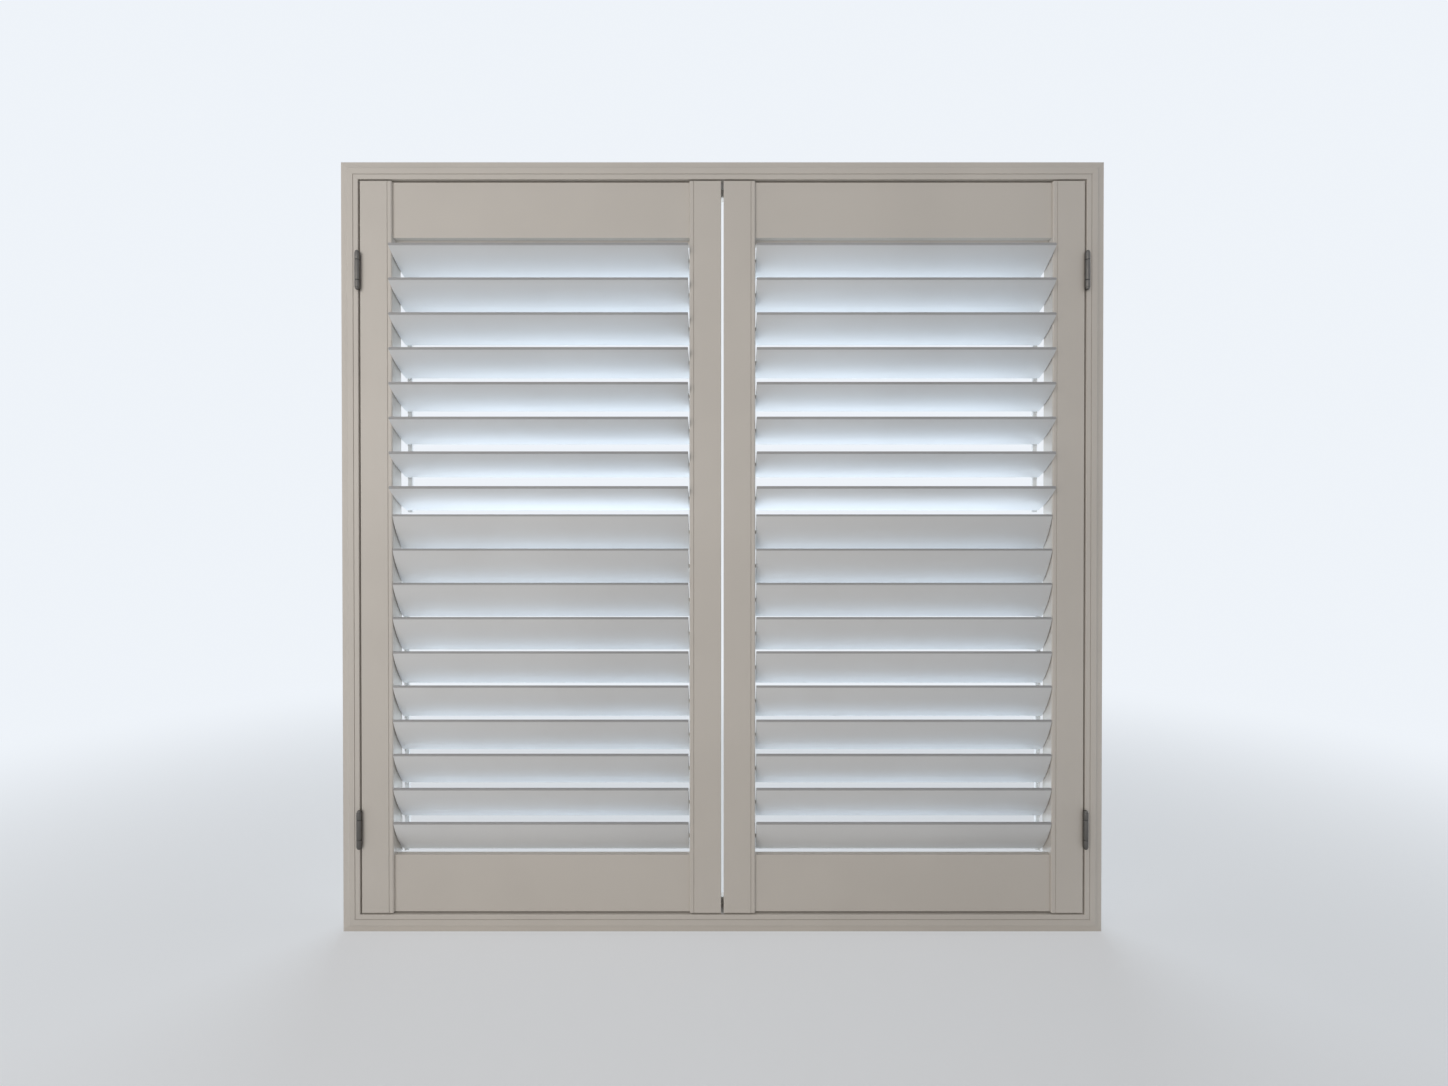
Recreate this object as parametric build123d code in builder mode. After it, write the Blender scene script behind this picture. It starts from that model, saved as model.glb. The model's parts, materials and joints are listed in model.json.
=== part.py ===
from build123d import *
from math import cos, radians, sin
import os

# A pair of louvred window shutters in a mitred frame. Millimetres, +Z up, room side at -Y.
# The origin lies under the middle of the sill, in the upright plane of the louvre pivots.
# Left and right are as seen from the room.

# Louvre blades: a lens-shaped section with blunt, chamfered edges
LOUVRE_LENGTH = 474.0
LOUVRE_WIDTH = 63.5
LOUVRE_THICKNESS = 10.5
LOUVRE_EDGE_HEIGHT = 4.0
LOUVRE_EDGE_FLAT = 1.8
LOUVRE_EDGE_CHAMFER = 0.8
LOUVRE_PITCH = 55.0
LOUVRE_END_GAP = 1.5
UPPER_LOUVRES = 8
LOWER_LOUVRES = 10

# Tilt at rest, in degrees from level, with the room-side edge up
UPPER_TILT = 29.5
LOWER_TILT = 60.0

# Pivot pins on the louvre ends, turning in blind bores in the stiles. There are two to a
# louvre, so they are drawn with few sides, and a pin's corners turn clear of its bore's flats.
PIVOT_RADIUS = 3.0
PIVOT_SIDES = 6
BORE_SIDES = 8
PIVOT_REACH = 9.0
PIVOT_CLEARANCE = 0.05
BORE_SPARE = 0.5

# Stiles, with a beaded edge towards the louvres
STILE_WIDTH = 51.0
STILE_THICKNESS = 28.0
BEAD_WIDTH = 6.5
BEAD_RADIUS = 2.2
QUIRK_WIDTH = 1.0
QUIRK_DEPTH = 1.0
STILE_ARRIS = 1.0

# Rails, thinner than the stiles and rebated where a louvre closes against them
RAIL_THICKNESS = 19.0
TOP_RAIL_HEIGHT = 89.0
BOTTOM_RAIL_HEIGHT = 92.0
REBATE_DEPTH = 9.0
LIP_HEIGHT = 6.0
LOUVRE_TO_RAIL = 1.25

# Rear tilt rods and the clips that join them to the louvres
ROD_WIDTH = 7.0
ROD_DEPTH = 4.0
ROD_OVERRUN = 3.0
ROD_STANDOFF = 2.3
LINK_REACH = 3.25
LINK_PIN_RADIUS = 1.0
LINK_PIN_SIDES = 6
LINK_CLEARANCE = 0.05
CLIP_THICKNESS = 2.0
CLIP_HEIGHT = 2.4
CLIP_ROOT = 2.0
EAR_THICKNESS = 2.0
EAR_WALL = 1.35
EAR_INSET = 1.0
EAR_GAP = 0.2
ROD_POCKET_CLEARANCE = 1.5

# Frame section, measured out from the opening
FRAME_FACE = 30.0
FRAME_DEPTH = 44.0
FRAME_ARRIS = 1.0
STRIP_WIDTH = 7.5
GROOVE_WIDTH = 1.0
GROOVE_DEPTH = 1.6
FILLET_WIDTH = 8.4
ROUND_RADIUS = 2.2
COVE_DROP = 1.2
COVE_RISE = 2.0
COVE_RISE_AT_MIDDLE = 1.6
STOP_PROJECTION = 12.0

# Gaps round the panels
MIDDLE_GAP = 4.0
HEAD_GAP = 3.0
SILL_GAP = 3.0

# Butt hinges, with the barrel on the room side
HINGE_FROM_TOP = 144.5
HINGE_FROM_BOTTOM = 136.0
HINGE_HEIGHT = 56.0
MIDDLE_KNUCKLE = 32.0
KNUCKLE_RADIUS = 4.0
KNUCKLE_GAP = 0.3
BARREL_TO_FACE = 0.3
LEAF_THICKNESS = 1.2
LEAF_DEPTH = 20.0
LEAF_GAP = 0.6
HINGE_PIN_RADIUS = 1.7
HINGE_PIN_SIDES = 8
HINGE_PIN_CLEARANCE = 0.05
FINIAL_RADIUS = 3.4
FINIAL_HEIGHT = 3.8
FINIAL_TAPER = 25.0

# Magnetic catches in the light stop and their strike plates on the meeting stiles
MAGNET_WIDTH = 28.0
MAGNET_HEIGHT = 7.0
MAGNET_DEPTH = 5.0
MAGNET_PROUD = 1.2
STRIKE_HEIGHT = 8.0
STRIKE_THICKNESS = 1.0
STRIKE_AIR_GAP = 0.3

# Fixing holes through the jambs, in the rebate behind the panels
FIXING_COUNT = 2
FIXING_SPACING = 700.0
FIXING_RADIUS = 2.5
FIXING_SETBACK = 24.0

# Depth positions along Y
face_y = -STILE_THICKNESS / 2
stile_rear_y = STILE_THICKNESS / 2
rail_front_y = -RAIL_THICKNESS / 2
rail_rear_y = RAIL_THICKNESS / 2
frame_rear_y = face_y + FRAME_DEPTH
stop_y = stile_rear_y + STRIKE_THICKNESS + STRIKE_AIR_GAP + MAGNET_PROUD

# Positions across the window, as distances from the middle
louvre_bay = LOUVRE_LENGTH + 2 * LOUVRE_END_GAP
meeting_edge = MIDDLE_GAP / 2
bay_near = meeting_edge + STILE_WIDTH
bay_far = bay_near + louvre_bay
panel_edge = bay_far + STILE_WIDTH
side_gap = 2 * LEAF_THICKNESS + LEAF_GAP
jamb_inside = panel_edge + side_gap
stile_middle = meeting_edge + STILE_WIDTH / 2

# Heights, worked out from the sill up
louvre_count = UPPER_LOUVRES + LOWER_LOUVRES
pivot_to_rail = LOUVRE_WIDTH / 2 + LOUVRE_TO_RAIL
sill_inside = FRAME_FACE
panel_bottom = sill_inside + SILL_GAP
bottom_rail_top = panel_bottom + BOTTOM_RAIL_HEIGHT
last_pivot = bottom_rail_top - LIP_HEIGHT + pivot_to_rail
first_pivot = last_pivot + (louvre_count - 1) * LOUVRE_PITCH
top_rail_bottom = first_pivot + pivot_to_rail
panel_top = top_rail_bottom + TOP_RAIL_HEIGHT
head_inside = panel_top + HEAD_GAP
frame_middle = (sill_inside + head_inside) / 2
pivot_heights = [first_pivot - i * LOUVRE_PITCH for i in range(louvre_count)]

# Link geometry, measured from a louvre's pivot
link_radius = LOUVRE_WIDTH / 2 + LINK_REACH
louvre_end = bay_far - LOUVRE_END_GAP
rod_inner = louvre_end - ROD_WIDTH
ear_outer = louvre_end - EAR_INSET
ear_inner = ear_outer - EAR_THICKNESS
clip_outer = ear_inner - EAR_GAP


def write(piece, name):
    """Label a finished piece and write it to its own file."""
    piece.part.label = name
    export_step(piece.part, f"parts/{name}.step")


def write_pair(piece, name):
    """Write a piece of the left panel, and its mirror image for the right panel."""
    write(piece, f"left_{name}")
    with BuildPart() as twin:
        mirror(piece.part, about=Plane.YZ)
    write(twin, f"right_{name}")


def frame_member(run, half_opening):
    """A frame member mitred at both ends.

    The moulded section is drawn on the plane `run`, whose X points away from the opening and
    whose Y points to the rear, and is carried along the plane's normal.
    """
    groove = STRIP_WIDTH + GROOVE_WIDTH
    shoulder = groove + FILLET_WIDTH
    cove_start = shoulder + ROUND_RADIUS
    cove_y = face_y + ROUND_RADIUS + COVE_DROP
    cove_middle = (cove_start + FRAME_FACE) / 2
    with BuildPart() as member:
        with BuildSketch(run):
            with BuildLine():
                CenterArc((FRAME_ARRIS, face_y + FRAME_ARRIS), FRAME_ARRIS, 180, 90)
                Polyline(
                    (FRAME_ARRIS, face_y),
                    (STRIP_WIDTH, face_y),
                    (STRIP_WIDTH + GROOVE_WIDTH / 2, face_y + GROOVE_DEPTH),
                    (groove, face_y),
                    (shoulder, face_y),
                )
                CenterArc((shoulder, face_y + ROUND_RADIUS), ROUND_RADIUS, 270, 90)
                Line((cove_start, face_y + ROUND_RADIUS), (cove_start, cove_y))
                ThreePointArc(
                    (cove_start, cove_y),
                    (cove_middle, cove_y + COVE_RISE_AT_MIDDLE),
                    (FRAME_FACE, cove_y + COVE_RISE),
                )
                Polyline(
                    (FRAME_FACE, cove_y + COVE_RISE),
                    (FRAME_FACE, frame_rear_y),
                    (-STOP_PROJECTION, frame_rear_y),
                    (-STOP_PROJECTION, stop_y),
                    (0, stop_y),
                    (0, face_y + FRAME_ARRIS),
                )
            make_face()
        extrude(amount=half_opening + FRAME_FACE, both=True)
        for way in (1, -1):
            corner = run.origin + run.z_dir * (way * half_opening)
            split(bisect_by=Plane(corner, z_dir=run.z_dir * way - run.x_dir), keep=Keep.BOTTOM)
    return member


def with_magnet_pockets(member, height):
    """The head or the sill, with two shallow pockets for the catches cut into its stop."""
    with BuildPart() as pocketed:
        add(member.part)
        with BuildSketch(Plane.XZ.offset(-stop_y)):
            with Locations((-stile_middle, height), (stile_middle, height)):
                Rectangle(MAGNET_WIDTH, MAGNET_HEIGHT)
        extrude(amount=-(MAGNET_DEPTH - MAGNET_PROUD), mode=Mode.SUBTRACT)
    return pocketed


def with_fixing_holes(member, side):
    """A jamb with its fixing holes, drilled from inside the opening."""
    offsets = [(i - (FIXING_COUNT - 1) / 2) * FIXING_SPACING for i in range(FIXING_COUNT)]
    face = Plane(
        (side * jamb_inside, face_y + FIXING_SETBACK, frame_middle),
        x_dir=(0, side, 0),
        z_dir=(-side, 0, 0),
    )
    with BuildPart() as drilled:
        add(member.part)
        with BuildSketch(face):
            with Locations(*[(0, offset) for offset in offsets]):
                Circle(FIXING_RADIUS)
        extrude(amount=-FRAME_FACE, mode=Mode.SUBTRACT)
    return drilled


def stile(inner_face, outward):
    """A stile of the left panel, beaded on its louvre side and bored for the pivot pins.

    Args:
        inner_face: X of the face towards the louvres.
        outward: 1 or -1, the direction of X away from the louvres.
    """
    far = STILE_WIDTH - STILE_ARRIS
    quirk_end = BEAD_WIDTH + QUIRK_WIDTH
    section = Plane((inner_face, 0, panel_bottom), x_dir=(1, 0, 0), z_dir=(0, 0, 1))
    with BuildPart() as body:
        with BuildSketch(section):
            with BuildLine():
                CenterArc((BEAD_RADIUS, face_y + BEAD_RADIUS), BEAD_RADIUS, 180, 90)
                Polyline(
                    (BEAD_RADIUS, face_y),
                    (BEAD_WIDTH, face_y),
                    (BEAD_WIDTH + QUIRK_WIDTH / 2, face_y + QUIRK_DEPTH),
                    (quirk_end, face_y),
                    (far, face_y),
                )
                CenterArc((far, face_y + STILE_ARRIS), STILE_ARRIS, 270, 90)
                Line((STILE_WIDTH, face_y + STILE_ARRIS), (STILE_WIDTH, stile_rear_y - STILE_ARRIS))
                CenterArc((far, stile_rear_y - STILE_ARRIS), STILE_ARRIS, 0, 90)
                Polyline(
                    (far, stile_rear_y),
                    (0, stile_rear_y),
                    (0, face_y + BEAD_RADIUS),
                )
            make_face()
            if outward < 0:
                mirror(about=Plane.YZ, mode=Mode.REPLACE)
        extrude(amount=panel_top - panel_bottom)
        drilling = Plane((inner_face, 0, 0), x_dir=(0, outward, 0), z_dir=(outward, 0, 0))
        with BuildSketch(drilling):
            with Locations(*[(0, height) for height in pivot_heights]):
                RegularPolygon(PIVOT_RADIUS + PIVOT_CLEARANCE, BORE_SIDES, major_radius=False)
        extrude(amount=PIVOT_REACH + BORE_SPARE, mode=Mode.SUBTRACT)
    return body


def rail(outline):
    """A rail of the left panel from its outline in depth and height."""
    with BuildPart() as body:
        with BuildSketch(Plane((-bay_far, 0, 0), x_dir=(0, 1, 0), z_dir=(1, 0, 0))):
            with BuildLine():
                Polyline(*outline, close=True)
            make_face()
        extrude(amount=louvre_bay)
    return body


def louvre_plane(x, height, tilt):
    """The plane of a louvre's section: X runs to the rear edge, which dips by the tilt."""
    return Plane((x, 0, height), x_dir=(0, cos(radians(tilt)), -sin(radians(tilt))), z_dir=(1, 0, 0))


def louvre(height, tilt):
    """A louvre of the left panel, with its pivot pins and its link clip."""
    tip = LOUVRE_WIDTH / 2
    arris = tip - LOUVRE_EDGE_CHAMFER
    edge = LOUVRE_EDGE_HEIGHT / 2
    flat = LOUVRE_EDGE_FLAT / 2
    crown = LOUVRE_THICKNESS / 2
    pin_run = LOUVRE_END_GAP + PIVOT_REACH
    clip_start = tip - CLIP_ROOT
    clip_end = link_radius + CLIP_HEIGHT / 2
    with BuildPart() as blade:
        with BuildSketch(louvre_plane(-louvre_end, height, tilt)):
            with BuildLine():
                ThreePointArc((-arris, edge), (0, crown), (arris, edge))
                Polyline((arris, edge), (tip, flat), (tip, -flat), (arris, -edge))
                ThreePointArc((arris, -edge), (0, -crown), (-arris, -edge))
                Polyline((-arris, -edge), (-tip, -flat), (-tip, flat), (-arris, edge))
            make_face()
        extrude(amount=LOUVRE_LENGTH)
        with BuildSketch(louvre_plane(-louvre_end - pin_run, height, tilt)):
            RegularPolygon(PIVOT_RADIUS, PIVOT_SIDES)
        extrude(amount=LOUVRE_LENGTH + 2 * pin_run)
        with BuildSketch(louvre_plane(-clip_outer, height, tilt)):
            with Locations(((clip_start + clip_end) / 2, 0)):
                Rectangle(clip_end - clip_start, CLIP_HEIGHT)
        extrude(amount=CLIP_THICKNESS)
        with BuildSketch(louvre_plane(-ear_outer, height, tilt)):
            with Locations((link_radius, 0)):
                RegularPolygon(LINK_PIN_RADIUS, LINK_PIN_SIDES)
        extrude(amount=EAR_THICKNESS + EAR_GAP)
    return blade


def tilt_rod(heights, tilt):
    """A rod of the left panel, with a notched ear for the clip pin of every louvre."""
    pin_y = link_radius * cos(radians(tilt))
    pin_heights = [height - link_radius * sin(radians(tilt)) for height in heights]
    top = pin_heights[0] + ROD_OVERRUN
    bottom = pin_heights[-1] - ROD_OVERRUN
    slot = LINK_PIN_RADIUS + LINK_CLEARANCE
    ear_front = pin_y - slot
    rod_front = pin_y + ROD_STANDOFF
    with BuildPart() as rod:
        with BuildSketch(Plane.XY.offset(bottom)):
            with Locations((-(louvre_end + rod_inner) / 2, rod_front + ROD_DEPTH / 2)):
                Rectangle(ROD_WIDTH, ROD_DEPTH)
        extrude(amount=top - bottom)
        with BuildSketch(Plane((-ear_outer, 0, 0), x_dir=(0, 1, 0), z_dir=(1, 0, 0))):
            for z in pin_heights:
                with Locations(((ear_front + rod_front) / 2, z)):
                    Rectangle(rod_front - ear_front, 2 * (slot + EAR_WALL))
                with Locations(((ear_front + pin_y + slot) / 2, z)):
                    Rectangle(pin_y + slot - ear_front, 2 * slot, mode=Mode.SUBTRACT)
        extrude(amount=EAR_THICKNESS)
    return rod


# Hinge positions, shared by the leaves, the pins and the bores
hinge_heights = (panel_top - HINGE_FROM_TOP, panel_bottom + HINGE_FROM_BOTTOM)
axis_x = panel_edge + side_gap / 2
axis_y = face_y - KNUCKLE_RADIUS - BARREL_TO_FACE
half_hinge = HINGE_HEIGHT / 2
half_middle = MIDDLE_KNUCKLE / 2
middle_knuckles = [(-half_middle, half_middle)]
outer_knuckles = [
    (-half_hinge, -half_middle - KNUCKLE_GAP),
    (half_middle + KNUCKLE_GAP, half_hinge),
]


def hinge_leaves(wood_x, way, knuckles):
    """The two leaves on one piece of wood at the left, with their knuckles.

    Args:
        wood_x: X of the face that the leaves are screwed to.
        way: 1 or -1, the direction of X from that face into the gap.
        knuckles: lowest and highest point of each knuckle, from the hinge's middle.
    """
    bore = HINGE_PIN_RADIUS + HINGE_PIN_CLEARANCE
    root_y = axis_y + (bore + KNUCKLE_RADIUS) / 2
    leaf_x = wood_x + way * LEAF_THICKNESS / 2
    with BuildPart() as leaves:
        for height in hinge_heights:
            with BuildSketch(Plane.XY.offset(height - half_hinge)):
                with Locations((leaf_x, face_y + LEAF_DEPTH / 2)):
                    Rectangle(LEAF_THICKNESS, LEAF_DEPTH)
            extrude(amount=HINGE_HEIGHT)
            for low, high in knuckles:
                with BuildSketch(Plane.XY.offset(height + low)):
                    with Locations((-axis_x, axis_y)):
                        Circle(KNUCKLE_RADIUS)
                    with Locations((leaf_x, (root_y + face_y) / 2)):
                        Rectangle(LEAF_THICKNESS, face_y - root_y)
                    with Locations((-axis_x, axis_y)):
                        RegularPolygon(
                            bore, HINGE_PIN_SIDES, major_radius=False, mode=Mode.SUBTRACT
                        )
                extrude(amount=high - low)
    return leaves


# Frame: head, sill and two jambs, mitred at the corners
head = frame_member(Plane((0, 0, head_inside), x_dir=(0, 0, 1), z_dir=(-1, 0, 0)), jamb_inside)
sill = frame_member(Plane((0, 0, sill_inside), x_dir=(0, 0, -1), z_dir=(1, 0, 0)), jamb_inside)
half_height = (head_inside - sill_inside) / 2
jamb_left = frame_member(
    Plane((-jamb_inside, 0, frame_middle), x_dir=(-1, 0, 0), z_dir=(0, 0, -1)), half_height
)
jamb_right = frame_member(
    Plane((jamb_inside, 0, frame_middle), x_dir=(1, 0, 0), z_dir=(0, 0, 1)), half_height
)
magnet_heights = (
    (panel_top + head_inside - STOP_PROJECTION) / 2,
    (panel_bottom + sill_inside + STOP_PROJECTION) / 2,
)
write(with_magnet_pockets(head, magnet_heights[0]), "frame_head")
write(with_magnet_pockets(sill, magnet_heights[1]), "frame_sill")
write(with_fixing_holes(jamb_left, -1), "frame_jamb_left")
write(with_fixing_holes(jamb_right, 1), "frame_jamb_right")

# Magnetic catches, seated in their pockets and standing a little proud
with BuildPart() as magnets:
    with BuildSketch(Plane.XZ.offset(MAGNET_PROUD - stop_y)):
        for z in magnet_heights:
            with Locations((-stile_middle, z), (stile_middle, z)):
                Rectangle(MAGNET_WIDTH, MAGNET_HEIGHT)
    extrude(amount=-MAGNET_DEPTH)
write(magnets, "magnetic_catches")

# Stiles
write_pair(stile(-bay_far, -1), "hinge_stile")
write_pair(stile(-bay_near, 1), "meeting_stile")

# Top rail: the first louvre's front edge closes into a rebate in front of the lip
top_rail = rail(
    [
        (rail_front_y, panel_top),
        (rail_front_y, top_rail_bottom),
        (rail_front_y + REBATE_DEPTH, top_rail_bottom),
        (rail_front_y + REBATE_DEPTH, top_rail_bottom - LIP_HEIGHT),
        (rail_rear_y, top_rail_bottom - LIP_HEIGHT),
        (rail_rear_y, panel_top),
    ]
)
write_pair(top_rail, "top_rail")

# Bottom rail: the last louvre's rear edge closes into a rebate behind the lip, and a pocket
# beside the hinge stile takes the end of the tilt rod
plain_bottom_rail = rail(
    [
        (rail_front_y, panel_bottom),
        (rail_front_y, bottom_rail_top),
        (rail_rear_y - REBATE_DEPTH, bottom_rail_top),
        (rail_rear_y - REBATE_DEPTH, bottom_rail_top - LIP_HEIGHT),
        (rail_rear_y, bottom_rail_top - LIP_HEIGHT),
        (rail_rear_y, panel_bottom),
    ]
)
pocket_floor = last_pivot - link_radius - ROD_OVERRUN - ROD_POCKET_CLEARANCE
pocket_inner = rod_inner - ROD_POCKET_CLEARANCE
with BuildPart() as bottom_rail:
    add(plain_bottom_rail.part)
    with BuildSketch(Plane.XY.offset(pocket_floor)):
        with Locations((-(bay_far + pocket_inner) / 2, rail_rear_y - REBATE_DEPTH / 2)):
            Rectangle(bay_far - pocket_inner, REBATE_DEPTH)
    extrude(amount=bottom_rail_top - pocket_floor, mode=Mode.SUBTRACT)
write_pair(bottom_rail, "bottom_rail")

# Strike plates on the back of the meeting stile, facing the catches
with BuildPart() as strikes:
    with BuildSketch(Plane.XZ.offset(-stile_rear_y)):
        for z in magnet_heights:
            with Locations((-stile_middle, z)):
                Rectangle(MAGNET_WIDTH, STRIKE_HEIGHT)
    extrude(amount=-STRIKE_THICKNESS)
write_pair(strikes, "strike_plates")

# Hinge leaves on the panel and on the jambs, and the hinge pins with their finials
write_pair(hinge_leaves(-panel_edge, -1, middle_knuckles), "hinge_leaves")
with BuildPart() as jamb_leaves:
    add(hinge_leaves(-jamb_inside, 1, outer_knuckles).part)
    mirror(about=Plane.YZ)
write(jamb_leaves, "frame_hinge_leaves")
with BuildPart() as hinge_pins:
    for z in hinge_heights:
        for x in (-axis_x, axis_x):
            with BuildSketch(Plane((x, axis_y, z - half_hinge))):
                RegularPolygon(HINGE_PIN_RADIUS, HINGE_PIN_SIDES)
            extrude(amount=HINGE_HEIGHT)
            for way in (1, -1):
                with BuildSketch(Plane((x, axis_y, z + way * half_hinge), z_dir=(0, 0, way))):
                    RegularPolygon(FINIAL_RADIUS, HINGE_PIN_SIDES)
                extrude(amount=FINIAL_HEIGHT, taper=FINIAL_TAPER)
write(hinge_pins, "hinge_pins")

# Louvres, numbered from the top of each panel
for i, pivot in enumerate(pivot_heights):
    rest_tilt = UPPER_TILT if i < UPPER_LOUVRES else LOWER_TILT
    write_pair(louvre(pivot, rest_tilt), f"louvre_{i + 1:02d}")

# Tilt rods
write_pair(tilt_rod(pivot_heights[:UPPER_LOUVRES], UPPER_TILT), "upper_tilt_rod")
write_pair(tilt_rod(pivot_heights[UPPER_LOUVRES:], LOWER_TILT), "lower_tilt_rod")
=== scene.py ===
"""A pair of louvred shutters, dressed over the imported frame, in a plain studio.

Everything is in metres, +Z up, with the front at -Y and the rear at +Y.
"""
import json
import logging
import math
from collections.abc import Mapping, Sequence
from dataclasses import dataclass
from enum import Enum
from typing import TypeAlias

import bpy
import numpy as np
from bpy.types import Material, NodeSocket, NodeTree, Object
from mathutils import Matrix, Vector

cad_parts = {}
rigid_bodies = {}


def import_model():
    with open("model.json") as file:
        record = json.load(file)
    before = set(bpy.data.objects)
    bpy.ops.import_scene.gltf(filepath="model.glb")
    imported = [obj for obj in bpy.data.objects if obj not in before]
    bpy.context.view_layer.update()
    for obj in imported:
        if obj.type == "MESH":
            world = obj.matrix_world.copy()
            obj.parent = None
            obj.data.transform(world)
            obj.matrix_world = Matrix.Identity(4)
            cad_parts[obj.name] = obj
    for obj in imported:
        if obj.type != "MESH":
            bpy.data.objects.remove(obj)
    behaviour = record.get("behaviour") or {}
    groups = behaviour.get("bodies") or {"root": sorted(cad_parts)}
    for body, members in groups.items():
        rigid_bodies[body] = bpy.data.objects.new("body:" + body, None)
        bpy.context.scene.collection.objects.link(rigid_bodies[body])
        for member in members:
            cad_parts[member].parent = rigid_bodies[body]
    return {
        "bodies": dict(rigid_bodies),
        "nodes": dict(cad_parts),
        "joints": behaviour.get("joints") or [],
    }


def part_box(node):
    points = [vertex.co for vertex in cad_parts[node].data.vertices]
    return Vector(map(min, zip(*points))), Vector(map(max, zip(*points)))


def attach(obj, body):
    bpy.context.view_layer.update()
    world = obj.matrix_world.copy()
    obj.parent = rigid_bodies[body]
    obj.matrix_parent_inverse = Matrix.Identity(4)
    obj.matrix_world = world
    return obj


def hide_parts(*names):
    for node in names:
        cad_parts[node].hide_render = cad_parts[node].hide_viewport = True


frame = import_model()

log = logging.getLogger("shutters")

MM = 0.001

# Edges that turn by more than this are drawn sharp.
SHARP_ANGLE = math.radians(32.0)

# The attribute that holds the painted shade on every point of a front edge, from 0 to 1.
EDGE_SHADE_ATTRIBUTE = "handled"

# Samples of the nodes that look for creases and that ease the arrises.
CREASE_SAMPLES = 6
ARRIS_SAMPLES = 4

# A pattern is drawn out along a piece by scaling its coordinates down to this.
DRAWN_OUT = 0.04

# The rings of an eased edge: how deep each lies and how far it is drawn in, in eases.
EASE_DEPTHS = np.array([0.0, 0.3, 1.0])
EASE_INSETS = np.array([1.0, 0.3, 0.0])

# Number of points round a rectangle with rounded corners.
OUTLINE_POINTS = 24

# Sizes that the leaves, the pins and the screws of the hinges share.
HINGE_HEIGHT = 56.0 * MM
LEAF_THICKNESS = 1.2 * MM

COOL_LIGHT = (0.77, 0.885, 1.0)
WARM_LIGHT = (1.0, 0.93, 0.86)

Colour: TypeAlias = tuple[float, float, float]
Place: TypeAlias = tuple[float, float, float]
Span: TypeAlias = tuple[float, float]
Number: TypeAlias = "Value | float"


class Side(Enum):
    """The two halves of the shutters, as seen from the front, and the sign of their X."""

    LEFT = -1
    RIGHT = 1

    def named(self, piece: str) -> str:
        """The name of this side's piece, node or body."""
        return f"{self.name.lower()}_{piece}"


class Lay(Enum):
    """The way that a finish runs along a piece, as the scale of its pattern's coordinates."""

    ALONG_X = (DRAWN_OUT, 1.0, 1.0)
    ALONG_Z = (1.0, 1.0, DRAWN_OUT)


@dataclass(frozen=True)
class Value:
    """A shader socket on which arithmetic can be written; each operator adds a Math node."""

    graph: "Graph"
    socket: NodeSocket

    def _math(self, operation: str, first: Number, second: Number) -> "Value":
        """One Math node on two numbers or sockets."""
        return self.graph.node("Math", {"operation": operation}, {0: first, 1: second})

    def __add__(self, other: Number) -> "Value":
        """self + other."""
        return self._math("ADD", self, other)

    def __radd__(self, other: Number) -> "Value":
        """other + self."""
        return self._math("ADD", other, self)

    def __sub__(self, other: Number) -> "Value":
        """self - other."""
        return self._math("SUBTRACT", self, other)

    def __rsub__(self, other: Number) -> "Value":
        """other - self."""
        return self._math("SUBTRACT", other, self)

    def __mul__(self, other: Number) -> "Value":
        """self * other."""
        return self._math("MULTIPLY", self, other)

    def __rmul__(self, other: Number) -> "Value":
        """other * self."""
        return self._math("MULTIPLY", other, self)

    def __pow__(self, other: Number) -> "Value":
        """self to the power of other."""
        return self._math("POWER", self, other)

    def clamped(self) -> "Value":
        """The value held between 0 and 1."""
        return self.graph.node("Clamp", None, {"Value": self})


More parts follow.
